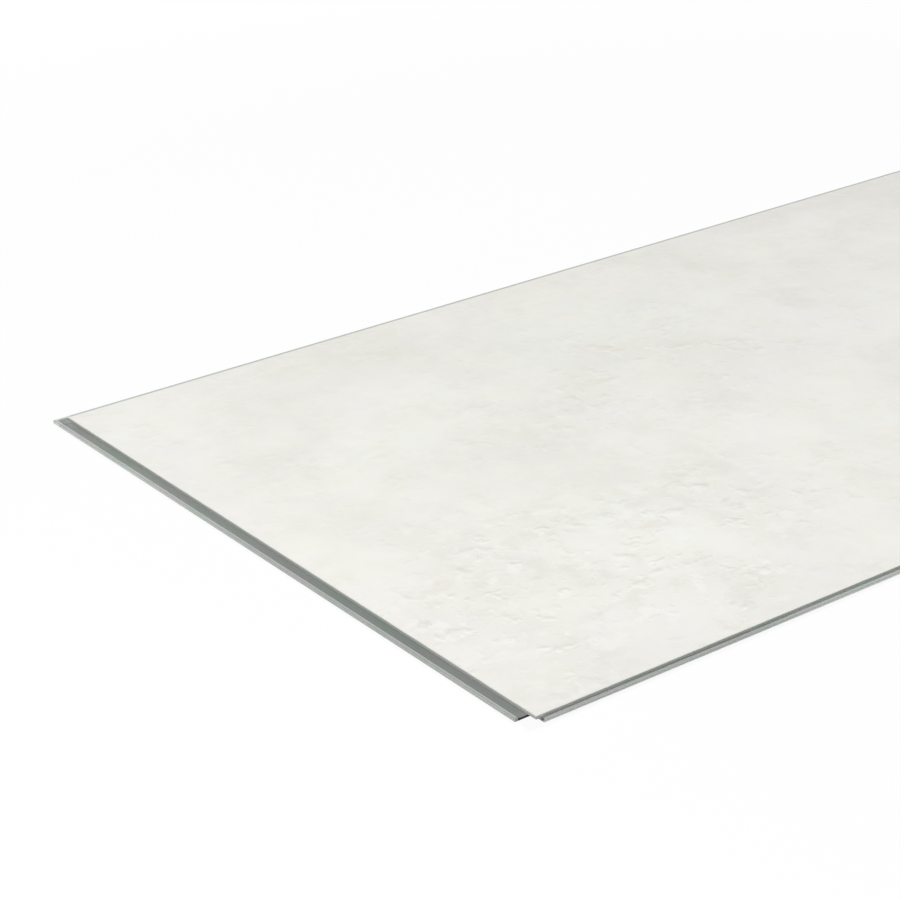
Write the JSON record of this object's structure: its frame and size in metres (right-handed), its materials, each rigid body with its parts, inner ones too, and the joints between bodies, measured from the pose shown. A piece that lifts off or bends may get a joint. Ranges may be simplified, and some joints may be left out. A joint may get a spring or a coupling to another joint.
{
  "type": "pvc wall panel",
  "caption": "Flat click-together PVC wall panel with a pale concrete-look face, a grey rigid core, tongues on two edges and slotted lower lips on the others.",
  "frame": {"origin": "centre of the back face under the decor, where the panel is glued to its wall", "axes": "+Z out of the decor face, +X along the panel's length with a tongue at its end, +Y across the panel towards the long lower lip"},
  "size_m": [0.9091, 0.4607, 0.005],
  "materials": {
    "core": "matt grey rigid PVC with milled edges",
    "decor": "satin off-white concrete-look print under a clear wear layer"
  },
  "bodies": {
    "root": {"core": "core", "decor_layer": "decor"}
  },
  "joints": []
}
